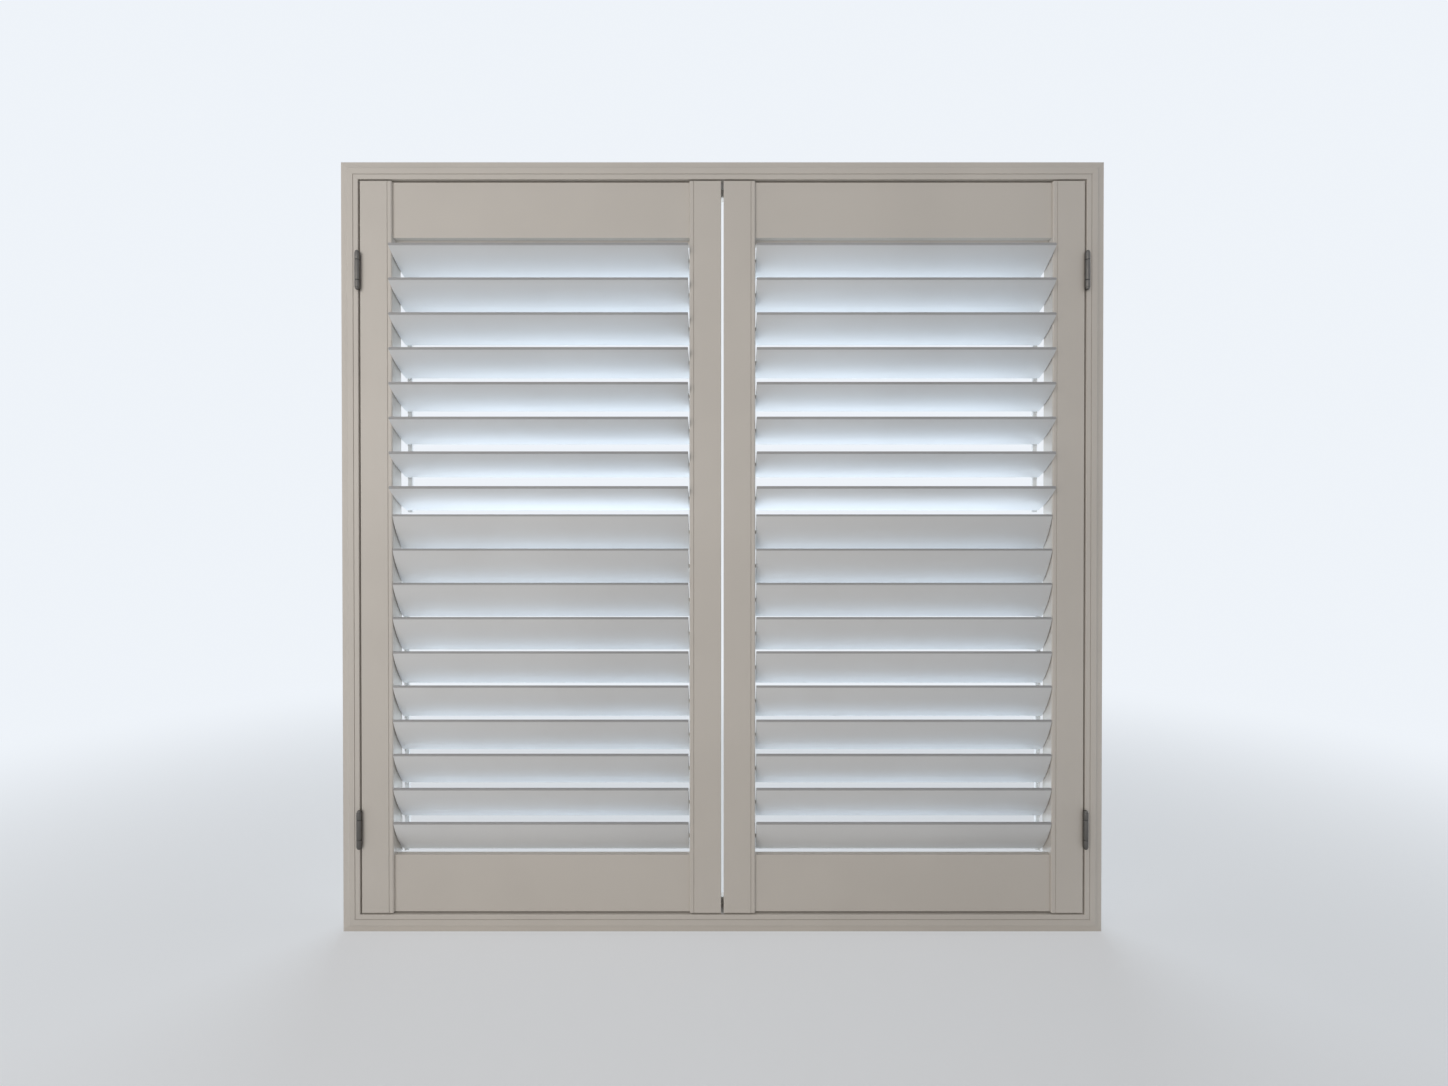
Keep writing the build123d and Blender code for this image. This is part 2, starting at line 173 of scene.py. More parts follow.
@dataclass(frozen=True)
class Graph:
    """The node tree of a material or a world, with one method that adds any node."""

    tree: NodeTree

    def __post_init__(self) -> None:
        """Empty the tree."""
        self.tree.nodes.clear()

    def node(
        self, kind: str, settings: Mapping[str, object] | None = None,
        inputs: Mapping[str | int, object] | None = None, output: str | int = 0,
    ) -> Value | None:
        """Add a node.

        Args:
            kind: the node's type, less the word ShaderNode before it.
            settings: its own properties, which are set first.
            inputs: values or links for its sockets, by name or number; a colour without alpha.
            output: the output socket that the result stands for.

        Returns:
            The wrapped output socket, or None on a node that has none.
        """
        made = self.tree.nodes.new(f"ShaderNode{kind}")
        for key, value in (settings or {}).items():
            setattr(made, key, value)
        for key, value in (inputs or {}).items():
            socket = made.inputs[key]
            if isinstance(value, Value):
                self.tree.links.new(value.socket, socket)
            elif socket.type == "RGBA":
                socket.default_value = (*value, 1.0)
            else:
                socket.default_value = value
        return Value(self, made.outputs[output]) if made.outputs else None

    def place(self, stretch: Sequence[float] = (1.0, 1.0, 1.0)) -> Value:
        """The surface's place in metres, with each axis scaled by stretch."""
        coordinates = self.node("TexCoord", output="Object")
        return self.node("Mapping", None, {"Vector": coordinates, "Scale": stretch})

    def noise(self, place: Value, per_metre: float, detail: float = 2.0) -> Value:
        """Soft noise from 0 to 1, with about so many lumps to the metre."""
        return self.node("TexNoise", None, {"Vector": place, "Scale": per_metre, "Detail": detail})

    def blend(self, amount: Value, first: Value | Colour, second: Value | Colour) -> Value:
        """A colour that goes from first to second as amount goes from 0 to 1."""
        # Inputs 6 and 7 and output 2 are the node's colours.
        return self.node("Mix", {"data_type": "RGBA"}, {0: amount, 6: first, 7: second}, 2)

    def band(self, value: Value, low: float, high: float) -> Value:
        """A smooth step from 0 to 1 as value goes from low to high."""
        span = {"Value": value, "From Min": low, "From Max": high}
        return self.node("MapRange", {"interpolation_type": "SMOOTHSTEP"}, span)

    def openness(self, reach: float) -> Value:
        """How open a point lies to what is round it within reach: 1 in the open, 0 in a crease."""
        samples = {"samples": CREASE_SAMPLES}
        return self.node("AmbientOcclusion", samples, {"Distance": reach}, "AO")

    def relief(self, height: Value, strength: float, depth: float, arris: float = 0.0) -> Value:
        """The normal of a surface with a fine relief.

        Args:
            height: the relief's height, from 0 to 1.
            strength: how much of it shows, from 0 to 1.
            depth: its full depth in metres.
            arris: radius to which sharp arrises are eased, or 0 to leave them sharp.

        Returns:
            The normal, for a shader.
        """
        inputs = {"Strength": strength, "Distance": depth, "Height": height}
        if arris > 0.0:
            inputs["Normal"] = self.node("Bevel", {"samples": ARRIS_SAMPLES}, {"Radius": arris})
        return self.node("Bump", None, inputs)

    def seen(self) -> Value:
        """1 for a ray from the camera, off a gloss or through glass, and 0 for any other."""
        camera = self.node("LightPath", output="Is Camera Ray")
        glossy = self.node("LightPath", output="Is Glossy Ray")
        clear = self.node("LightPath", output="Is Transmission Ray")
        return (camera + glossy + clear).clamped()

    def end(self, shader: Value, kind: str = "OutputMaterial") -> None:
        """Join a shader to the tree's output, a node of that kind."""
        self.node(kind, None, {"Surface": shader})

    def end_principled(self, inputs: Mapping[str, object]) -> None:
        """End the tree in a Principled shader with these inputs."""
        self.end(self.node("BsdfPrincipled", None, inputs))


def new_material(name: str) -> tuple[Material, Graph]:
    """A material that is empty but for its node tree.

    Args:
        name: the material's name.

    Returns:
        The material and its graph.
    """
    material = bpy.data.materials.new(name)
    material.use_nodes = True
    return material, Graph(material.node_tree)


@dataclass(frozen=True)
class SatinPaint:
    """Off-white satin paint on wood, sprayed and rubbed down along the piece.

    The tone drifts slowly over the piece, painted shade darkens the creases and the front edges
    of the louvres, and the skin has a fine peel with faint long strokes. Arrises are eased by
    the paint that rounds them.
    """

    name: str
    lay: Lay
    # The frame's paint: a darker, warmer copy of the louvres' paint, which is painted shade.
    colour: Colour = (0.715, 0.682, 0.636)
    drift_colour: Colour = (0.682, 0.65, 0.606)
    drift_per_metre: float = 4.0
    drift_low: float = 0.35
    drift_high: float = 0.65
    # Painted shade: the paint darkens in creases, as far as the reach looks.
    crease_shade_colour: Colour = (0.34, 0.30, 0.26)
    crease_shade_reach: float = 4.0 * MM
    grime_power: float = 1.5
    crease_shade_strength: float = 0.28
    # Painted shade on the front edges of the louvres, patchy with the drift.
    handled_colour: Colour = (0.46, 0.44, 0.415)
    handled_strength: float = 0.55
    handled_low: float = 0.75
    handled_spread: float = 0.5
    roughness: float = 0.34
    roughness_spread: float = 0.12
    strokes_per_metre: float = 300.0
    peel_per_metre: float = 750.0
    stroke_share: float = 0.5
    detail: float = 3.0
    skin_depth: float = 0.12 * MM
    skin_strength: float = 0.5
    arris_radius: float = 0.7 * MM

    def material(self) -> Material:
        """Mix the paint.

        Returns:
            The material.
        """
        material, graph = new_material(self.name)
        place = graph.place()
        strokes = graph.noise(graph.place(self.lay.value), self.strokes_per_metre, self.detail)
        peel = graph.noise(place, self.peel_per_metre)
        drift = graph.noise(place, self.drift_per_metre, self.detail)
        # Painted shade in the creases, where little light reaches.
        crease_shade = (1.0 - graph.openness(self.crease_shade_reach)) ** self.grime_power * self.crease_shade_strength
        # Painted shade on the front edges, read from the points' attribute.
        edge_shaded = graph.node("Attribute", {"attribute_name": EDGE_SHADE_ATTRIBUTE}, output="Fac")
        patchy = self.handled_low + self.handled_spread * drift
        unshaded = graph.blend(
            graph.band(drift, self.drift_low, self.drift_high), self.colour, self.drift_colour
        )
        with_edge_shade = graph.blend(edge_shaded * patchy * self.handled_strength, unshaded, self.handled_colour)
        skin = self.stroke_share * strokes + (1.0 - self.stroke_share) * peel
        graph.end_principled({
            "Base Color": graph.blend(crease_shade, with_edge_shade, self.crease_shade_colour),
            "Roughness": self.roughness + self.roughness_spread * strokes,
            "Normal": graph.relief(skin, self.skin_strength, self.skin_depth, self.arris_radius),
        })
        return material


@dataclass(frozen=True)
class DullSteel:
    """Steel with fine drawn lines and blotches of tarnish, with painted shade darkening its creases.
    """

    name: str
    lay: Lay
    colour: Colour = (0.165, 0.157, 0.147)
    # The colour of the tarnish blotches and of the painted shade in the creases.
    tarnish_and_shade_colour: Colour = (0.018, 0.016, 0.014)
    hollow_shade_reach: float = 3.5 * MM
    hollow_shade_strength: float = 0.9
    tarnish_roughness: float = 0.2
    blotches_per_metre: float = 160.0
    blotch_detail: float = 4.0
    blotch_strength: float = 0.25
    lines_per_metre: float = 2600.0
    line_detail: float = 3.0
    line_depth: float = 0.03 * MM
    line_strength: float = 0.25
    line_roughness: float = 0.16
    roughness: float = 0.36
    arris_radius: float = 0.25 * MM

    def material(self) -> Material:
        """Make the steel.

        Returns:
            The material.
        """
        material, graph = new_material(self.name)
        lines = graph.noise(graph.place(self.lay.value), self.lines_per_metre, self.line_detail)
        blotches = graph.noise(graph.place(), self.blotches_per_metre, self.blotch_detail)
        # Painted shade in the creases, darkest where knuckles and leaves meet.
        hollow_shade = (1.0 - graph.openness(self.hollow_shade_reach)) * self.hollow_shade_strength
        tarnish_and_shade = (hollow_shade + blotches * self.blotch_strength).clamped()
        uneven = lines * self.line_roughness + tarnish_and_shade * self.tarnish_roughness
        graph.end_principled({
            "Base Color": graph.blend(tarnish_and_shade, self.colour, self.tarnish_and_shade_colour),
            "Metallic": 1.0,
            "Roughness": uneven + self.roughness,
            "Normal": graph.relief(lines, self.line_strength, self.line_depth, self.arris_radius),
        })
        return material


@dataclass(frozen=True)
class MouldedPlastic:
    """Plastic or powder coat with the fine grain of its mould or its oven."""

    name: str
    colour: Colour
    roughness: float
    cloud_per_metre: float = 30.0
    cloud_tone: float = 0.9
    grain_per_metre: float = 2200.0
    grain_depth: float = 0.03 * MM
    grain_strength: float = 0.3
    grain_roughness: float = 0.1

    def material(self) -> Material:
        """Make the plastic.

        Returns:
            The material.
        """
        material, graph = new_material(self.name)
        place = graph.place()
        grain = graph.noise(place, self.grain_per_metre)
        cloud = graph.noise(place, self.cloud_per_metre)
        clouded = tuple(self.cloud_tone * part for part in self.colour)
        graph.end_principled({
            "Base Color": graph.blend(cloud, self.colour, clouded),
            "Roughness": grain * self.grain_roughness + self.roughness,
            "Normal": graph.relief(grain, self.grain_strength, self.grain_depth),
        })
        return material


@dataclass
class Surface:
    """One closed surface.

    faces holds rows of point numbers, one array for each number of corners. finish is the
    number of its finish on the piece. The last field is the painted shade on every point, from
    0 to 1, or one number for all.
    """

    points: np.ndarray
    faces: tuple[np.ndarray, ...]
    finish: int = 0
    handled: np.ndarray | float = 0.0

    def turned_outwards(self) -> "Surface":
        """Make the faces point out.

        Each face is cut into a fan of triangles. Six times the volume inside is the sum of the
        triple products of their corners, and where that is negative every face is reversed.

        Returns:
            The same surface.
        """
        volume = 0.0
        for rows in self.faces:
            corners = self.points[rows]
            spans = np.cross(corners[:, 1:-1], corners[:, 2:])
            volume += float(np.einsum("fj,ftj->", corners[:, 0], spans))
        if volume < 0.0:
            self.faces = tuple(rows[:, ::-1] for rows in self.faces)
        return self


def bands(count: int, size: int, wrap: bool = False) -> np.ndarray:
    """The four-sided faces between rings of points.

    Each goes from point i of ring k to point i + 1, to that of ring k + 1, and back by i.

    Args:
        count: number of rings.
        size: number of points in a ring.
        wrap: true if the last ring joins the first.

    Returns:
        Rows of four point numbers.
    """
    here = np.arange(count if wrap else count - 1)[:, None]
    there = (here + 1) % count
    item = np.arange(size)[None, :]
    beside = (item + 1) % size
    corners = (here * size + item, here * size + beside, there * size + beside, there * size + item)
    return np.stack(corners, axis=-1).reshape(-1, 4)


def lofted(rings: np.ndarray, finish: int = 0, wrap: bool = False) -> Surface:
    """A closed surface through a stack of rings.

    Each ring is joined to the next by a band of four-sided faces. The first and the last ring
    are each closed by one flat face, or joined to each other.

    Args:
        rings: points as an array of rings by points by 3.
        finish: number of its finish on the piece.
        wrap: true if the last ring joins the first.

    Returns:
        The surface, facing outwards.
    """
    count, size, _ = rings.shape
    faces = [bands(count, size, wrap)]
    if not wrap:
        faces.append(np.stack((np.arange(size)[::-1], np.arange(size) + (count - 1) * size)))
    return Surface(rings.reshape(-1, 3), tuple(faces), finish).turned_outwards()


def arc(start: float, stop: float, count: int) -> np.ndarray:
    """Points (a, b) along a circle of radius 1: the cosine and sine from start to stop."""
    angle = np.linspace(start, stop, count)
    return np.stack((np.cos(angle), np.sin(angle)), axis=-1)


def circle(count: int, shift: float = 0.0) -> np.ndarray:
    """Points (a, b) round a circle of radius 1, the first a share of a step past nothing."""
    angle = (np.arange(count) + shift) * 2.0 * np.pi / count
    return np.stack((np.cos(angle), np.sin(angle)), axis=-1)


def inset(outline: np.ndarray, amount: float) -> np.ndarray:
    """A closed outline moved inwards.

    Each point moves by amount along the inward normal, which is the direction from the point
    before it to the point after it, turned a quarter turn towards the middle.

    Args:
        outline: points (a, b).
        amount: how far they move.

    Returns:
        The moved points.
    """
    run = np.roll(outline, -1, axis=0) - np.roll(outline, 1, axis=0)
    normal = np.stack((run[:, 1], -run[:, 0]), axis=-1)
    normal /= np.linalg.norm(normal, axis=1, keepdims=True)
    inwards = np.sign(np.sum(normal * (outline.mean(axis=0) - outline)))
    return outline + normal * inwards * amount


def stacked(stations: Sequence[float], outlines: Sequence[np.ndarray]) -> np.ndarray:
    """Rings of points (station, a, b), one for each station and its outline (a, b)."""
    flat = np.stack(outlines)
    heads = np.broadcast_to(np.asarray(stations)[:, None, None], (*flat.shape[:2], 1))
    return np.concatenate((heads, flat), axis=-1)


def eased_rings(
    outline: np.ndarray, near: float, far: float, ease_near: float, ease_far: float
) -> np.ndarray:
    """Rings of a flat outline that is given a thickness, with its edges eased.

    At either end the outline is drawn in by the full ease, then by three tenths of it a little
    further on, and not at all one ease deep.

    Args:
        outline: points (a, b).
        near: station of the near end.
        far: station of the far end.
        ease_near: ease of the near edge.
        ease_far: ease of the far edge.

    Returns:
        Rings of points (station, a, b).
    """
    way = math.copysign(1.0, far - near)
    first = near + way * ease_near * EASE_DEPTHS
    last = far - way * ease_far * EASE_DEPTHS
    amounts = np.concatenate((ease_near * EASE_INSETS, ease_far * EASE_INSETS[::-1]))
    outlines = [inset(outline, amount) for amount in amounts]
    return stacked(np.concatenate((first, last[::-1])), outlines)


def rounded_outline(centre: Span, size: Span, corner: float) -> np.ndarray:
    """Points (a, b) round a rectangle: its inner corners plus a circle of the corner's radius."""
    swing = circle(OUTLINE_POINTS, 0.5)
    return np.sign(swing) * (np.array(size) / 2 - corner) + swing * corner + centre


def turned(profile: np.ndarray, centre: Span, count: int) -> np.ndarray:
    """Rings (x, y, z) of a profile (radius, height): circles of its radii at its heights."""
    rounds = circle(count)[None] * profile[:, None, :1] + centre
    return stacked(profile[:, 1], rounds)[..., (1, 2, 0)]


def make_piece(
    name: str, surfaces: Sequence[Surface], finishes: Sequence[Material], body: str,
    stands_for: Sequence[str] = (),
) -> Object:
    """Make one object of several surfaces and let it ride on a body.

    Args:
        name: the object's name.
        surfaces: its surfaces, already in place.
        finishes: its materials, in the order of the surfaces' finish numbers.
        body: the CAD body that it moves with.
        stands_for: CAD nodes that it replaces.

    Returns:
        The new object.
    """
    starts = np.cumsum([0] + [len(surface.points) for surface in surfaces])
    faces = []
    for start, surface in zip(starts, surfaces):
        for rows in surface.faces:
            faces += (rows + start).tolist()
    mesh = bpy.data.meshes.new(name)
    mesh.from_pydata(np.concatenate([surface.points for surface in surfaces]), [], faces)
    # The painted shade on the front edges, kept on the points for the paint to read.
    handled = np.concatenate(
        [np.broadcast_to(surface.handled, len(surface.points)) for surface in surfaces]
    )
    if handled.any():
        mesh.attributes.new(EDGE_SHADE_ATTRIBUTE, "FLOAT", "POINT").data.foreach_set("value", handled)
    for finish in finishes:
        mesh.materials.append(finish)
    counts = [sum(map(len, surface.faces)) for surface in surfaces]
    numbers = np.repeat([surface.finish for surface in surfaces], counts)
    mesh.polygons.foreach_set("material_index", numbers)
    mesh.shade_smooth()
    mesh.set_sharp_from_angle(angle=SHARP_ANGLE)
    mesh.update()
    piece = bpy.data.objects.new(name, mesh)
    bpy.context.scene.collection.objects.link(piece)
    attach(piece, body)
    if stands_for:
        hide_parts(*stands_for)
    return piece


def joint_of(body: str) -> Mapping[str, object]:
    """The joint that moves a body."""
    return next(joint for joint in frame["joints"] if joint["child"] == body)


@dataclass(frozen=True)
class Louvre:
    """One louvre: a lens-shaped blade on two pivot pins, with the clip that joins the rod."""

    length: float = 474.0 * MM
    width: float = 63.5 * MM
    thickness: float = 10.5 * MM
    edge_height: float = 4.0 * MM
    nose_depth: float = 0.8 * MM
    nose_order: float = 4.5
    # How far the painted shade on the front edge reaches past the arris.
    handled_reach: float = 0.9 * MM
    end_easing: float = 0.5 * MM
    pin_radius: float = 3.0 * MM
    pin_run: float = 10.5 * MM
    pin_chamfer: float = 0.5 * MM
    link_radius: float = 35.0 * MM
    link_pin_radius: float = 1.0 * MM
    clip_from_end: float = 3.2 * MM
    clip_thickness: float = 2.0 * MM
    clip_height: float = 2.4 * MM
    clip_root: float = 2.0 * MM
    ear_inset: float = 1.0 * MM
    lowest_tilt: float = -30.0
    arc_points: int = 33
    nose_points: int = 11
    clip_points: int = 13
    pin_points: int = 24

    def section(self) -> np.ndarray:
        """The blade's section.

        Each broad side is an arc of the circle through its two arrises and its crown. Each
        edge is half of a superellipse: the nose depth times the cosine, and half the edge's
        height times the sine, each raised to 2 over the order.

        Returns:
            Points (u, v), with u from the front edge to the rear edge.
        """
        reach = self.width / 2 - self.nose_depth
        crown = self.thickness / 2
        edge = self.edge_height / 2
        rise = crown - edge
        radius = (reach**2 + rise**2) / (2 * rise)
        u = np.linspace(-reach, reach, self.arc_points)
        top = np.stack((u, np.sqrt(radius**2 - u**2) - radius + crown), axis=-1)
        swing = arc(np.pi / 2, -np.pi / 2, self.nose_points)[1:-1]
        curve = np.sign(swing) * np.abs(swing) ** (2.0 / self.nose_order)
        nose = curve * (self.nose_depth, edge) + (reach, 0.0)
        return np.concatenate((top, nose, -top, -nose))

    def placed(self, rings: np.ndarray, joint: Mapping[str, object], side: Side) -> np.ndarray:
        """Carry rings to their place on the panel.

        u and v turn by the tilt about the pivot: y is u times its cosine plus v times its sine,
        and z is the pivot's height less u times the sine plus v times the cosine.

        Args:
            rings: points (x, u, v), with x outwards from the louvre's inner end.
            joint: the louvre's own joint.
            side: the half that it is in.

        Returns:
            The points in the shared frame.
        """
        middle, _, height = joint["pos_m"]
        tilt = math.radians(self.lowest_tilt - joint["range_deg"][0])
        x = middle + side.value * (rings[..., 0] - self.length / 2)
        u, v = rings[..., 1], rings[..., 2]
        y = u * math.cos(tilt) + v * math.sin(tilt)
        z = height - u * math.sin(tilt) + v * math.cos(tilt)
        return np.stack((x, y, z), axis=-1)

    def handled(self, rings: np.ndarray) -> np.ndarray:
        """How much painted shade each point gets: all at the front edge, none past the arris."""
        start = self.width / 2 - self.nose_depth - self.handled_reach
        return np.clip((-rings[..., 1] - start) / self.handled_reach, 0.0, 1.0).ravel()

    def pin(self, start: float, stop: float, radius: float, centre: float = 0.0) -> np.ndarray:
        """A round pin along x, chamfered at both ends.

        Args:
            start: x of its first end.
            stop: x of its last end.
            radius: its radius.
            centre: how far its axis lies from the pivot, along u.

        Returns:
            Rings of points (x, u, v).
        """
        chamfer = min(self.pin_chamfer, radius / 3)
        stations = (start, start + chamfer, stop - chamfer, stop)
        radii = np.array((radius - chamfer, radius, radius, radius - chamfer))
        return stacked(stations, circle(self.pin_points) * radii[:, None, None] + (centre, 0.0))

    def clip(self) -> np.ndarray:
        """The clip: a flat tongue from the blade's edge with a round end.

        The tongue is closed by a half circle about the link pin: the pin's place along u plus
        the cosine, and the sine for v, times half the height.

        Returns:
            Rings of points (x, u, v).
        """
        half = self.clip_height / 2
        nose = arc(-np.pi / 2, np.pi / 2, self.clip_points) * half + (self.link_radius, 0.0)
        root = self.width / 2 - self.clip_root
        outline = np.concatenate((nose, [(root, half), (root, -half)]))
        outer = self.length - self.clip_from_end
        return stacked((outer - self.clip_thickness, outer), (outline, outline))

    def surfaces(self, name: str, side: Side) -> list[Surface]:
        """One louvre: its blade, pivot pins, clip and link pin.

        Args:
            name: name of the CAD node that it stands for, which is also its body's.
            side: the half that it is in.

        Returns:
            The surfaces, of which the blade has the first finish and the rest the second.
        """
        end, ease = self.length, self.end_easing
        link = (end - self.clip_from_end, end - self.ear_inset)
        parts = (
            eased_rings(self.section(), 0.0, end, ease, ease),
            self.pin(-self.pin_run, ease, self.pin_radius),
            self.pin(end - ease, end + self.pin_run, self.pin_radius),
            self.clip(),
            self.pin(*link, self.link_pin_radius, self.link_radius),
        )
        joint = joint_of(name)
        surfaces = [lofted(self.placed(rings, joint, side), 1) for rings in parts]
        surfaces[0].finish = 0
        # The blade's front edge gets painted shade.
        surfaces[0].handled = self.handled(parts[0])
        return surfaces

    def build(self, paint: Material, nylon: Material) -> list[Object]:
        """Make every louvre in place of its CAD node.

        Args:
            paint: finish of the blades.
            nylon: finish of the pins and the clips.

        Returns:
            The louvres of the left and of the right panel, from the top down.
        """
        return [
            make_piece(
                f"{name}_blade", self.surfaces(name, side), (paint, nylon), name,
                (name,),
            )
            for side in Side
            for name in sorted(frame["nodes"])
            if name.startswith(side.named("louvre_"))
        ]


@dataclass(frozen=True)
class HingeLine:
    """Where the two hinges of one side stand.

    edge is how far the stile's hinge edge is from the middle plane, face is the Y of the
    stile's front face, and middles are the heights of the hinges' middles.
    """

    axis: Span
    edge: float
    face: float
    middles: Span

    @classmethod
    def of(cls, side: Side) -> "HingeLine":
        """Read one side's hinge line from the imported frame.

        Args:
            side: the half that is meant.

        Returns:
            Its hinge line.
        """
        x, y, _ = joint_of(side.named("panel"))["pos_m"]
        low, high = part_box(side.named("hinge_leaves"))
        stile_low, stile_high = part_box(side.named("hinge_stile"))
        edge = max(abs(stile_low[0]), abs(stile_high[0]))
        middles = (low[2] + HINGE_HEIGHT / 2, high[2] - HINGE_HEIGHT / 2)
        return cls((x, y), edge, stile_low[1], middles)


@dataclass(frozen=True)
class HingeWork:
    """Steel work on the leaves of the hinges: a piece on each panel and one on the jambs.

    kind ends the names of the pieces, and stands_for those of the CAD nodes that they replace.
    """

    kind: str
    stands_for: str

    def surfaces(self, side: Side, on_panel: bool) -> list[Surface]:
        """The surfaces on one side's leaves, of the panel or of the jamb."""
        raise NotImplementedError

    def build(self, steel: Material) -> list[Object]:
        """Make the pieces, in place of their CAD nodes if they stand for any.

        Args:
            steel: their finish.

        Returns:
            The pieces on the left panel, the right panel and the jambs.
        """
        jamb = [surface for side in Side for surface in self.surfaces(side, False)]
        rows = [
            (side.named(""), side.named(""), side.named("panel"), self.surfaces(side, True))
            for side in Side
        ]
        return [
            make_piece(
                piece + self.kind, surfaces, (steel,), body,
                (node + self.stands_for,) if self.stands_for else (),
            )
            for piece, node, body, surfaces in (*rows, ("jamb_", "frame_", "frame", jamb))
        ]


@dataclass(frozen=True)
class HingeLeaves(HingeWork):
    """Both leaves of every hinge, with rounded corners and knuckles that are eased at the ends."""

    kind: str = "eased_hinge_leaves"
    stands_for: str = "hinge_leaves"
    middle_knuckle: float = 32.0 * MM
    knuckle_gap: float = 0.3 * MM
    knuckle_radius: float = 4.0 * MM
    knuckle_ease: float = 0.75 * MM
    knuckle_points: int = 40
    ease_points: int = 5
    bore_radius: float = 1.75 * MM
    depth: float = 20.0 * MM
    corner: float = 1.6 * MM
    edge_ease: float = 0.2 * MM
    tongue_corner: float = 0.3 * MM

    def knuckle(self, centre: Span, low: float, high: float) -> Surface:
        """One knuckle: a turned ring whose outer edges are rounded.

        Its profile is a rectangle from the bore to the outside, and each outer corner is a
        quarter circle of the ease's radius.

        Args:
            centre: x and y of the hinge line.
            low: its lowest height.
            high: its highest height.

        Returns:
            The closed ring.
        """
        ease = self.knuckle_ease
        inner = self.knuckle_radius - ease
        lower = arc(-np.pi / 2, 0.0, self.ease_points) * ease + (inner, low + ease)
        upper = arc(0.0, np.pi / 2, self.ease_points) * ease + (inner, high - ease)
        bore = np.array([(self.bore_radius, high), (self.bore_radius, low)])
        profile = np.concatenate((lower, upper, bore))
        return lofted(turned(profile, centre, self.knuckle_points), wrap=True)

    def plate(self, side: Side, near: float, deep: Span, high: Span, corner: float) -> Surface:
        """A flat plate that stands along the gap.

        Args:
            side: the half that is meant.
            near: distance of its inner face from the middle plane.
            deep: where it starts and ends in Y.
            high: where it starts and ends in Z.
            corner: radius of its corners.

        Returns:
            The closed plate.
        """
        ease, size = self.edge_ease, (deep[1] - deep[0], high[1] - high[0])
        outline = rounded_outline((sum(deep) / 2, sum(high) / 2), size, corner)
        rings = eased_rings(outline, near, near + LEAF_THICKNESS, ease, ease)
        return lofted(rings * (side.value, 1, 1))

    def surfaces(self, side: Side, on_panel: bool) -> list[Surface]:
        """The leaves of one side, each a plate with its knuckles and a tongue to each knuckle.

        Args:
            side: the half that is meant.
            on_panel: true for the leaves on the panel, false for those on the jamb.

        Returns:
            Plates, knuckles and tongues.
        """
        line = HingeLine.of(side)
        half, inner = HINGE_HEIGHT / 2, self.middle_knuckle / 2
        if on_panel:
            near = line.edge
            spans = ((-inner, inner),)
        else:
            near = 2 * abs(line.axis[0]) - line.edge - LEAF_THICKNESS
            spans = ((-half, -inner - self.knuckle_gap), (inner + self.knuckle_gap, half))
        root = line.axis[1] + (self.bore_radius + self.knuckle_radius) / 2
        leaf = (line.face, line.face + self.depth)
        tongue = (root, line.face + self.corner + self.edge_ease)
        surfaces = []
        for middle in line.middles:
            high = (middle - half, middle + half)
            surfaces.append(self.plate(side, near, leaf, high, self.corner))
            for low, top in spans:
                surfaces.append(self.knuckle(line.axis, middle + low, middle + top))
                high = (middle + low + self.knuckle_ease, middle + top - self.knuckle_ease)
                surfaces.append(self.plate(side, near, tongue, high, self.tongue_corner))
        return surfaces


@dataclass(frozen=True)
class HingePins:
    """The four hinge pins, each with a rounded finial at both ends of the barrel."""

    radius: float = 1.7 * MM
    finial_radius: float = 3.4 * MM
    finial_height: float = 3.8 * MM
    collar_height: float = 0.7 * MM
    dome_turn: float = math.radians(84.6)
    dome_points: int = 9
    ring_points: int = 32

    def profile(self) -> np.ndarray:
        """The outline of one pin, from its lower crown up to its upper crown.

        A finial is a short straight collar and a dome: the radius falls as the cosine and the
        height grows as the sine of an angle that goes from nothing to nearly a quarter turn.

        Returns:
            Points (radius, height from the pin's middle).
        """
        half = HINGE_HEIGHT / 2
        size = (self.finial_radius, self.finial_height - self.collar_height)
        dome = arc(0.0, self.dome_turn, self.dome_points) * size + (0.0, self.collar_height)
        upper = np.concatenate(([(self.finial_radius, 0.0)], dome)) + (0.0, half)
        lower = upper[::-1] * (1, -1)
        return np.concatenate((lower, [(self.radius, -half), (self.radius, half)], upper))

    def build(self, steel: Material) -> list[Object]:
        """Make the pins in place of their CAD node.

        Args:
            steel: their finish.

        Returns:
            One piece with all four pins.
        """
        low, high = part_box("hinge_pins")
        reach = self.finial_height + HINGE_HEIGHT / 2
        surfaces = [
            lofted(turned(self.profile() + (0.0, middle), line.axis, self.ring_points))
            for line in map(HingeLine.of, Side)
            for middle in (low[2] + reach, high[2] - reach)
        ]
        return [
            make_piece(
                "rounded_hinge_pins", surfaces, (steel,), "frame", ("hinge_pins",)
            )
        ]


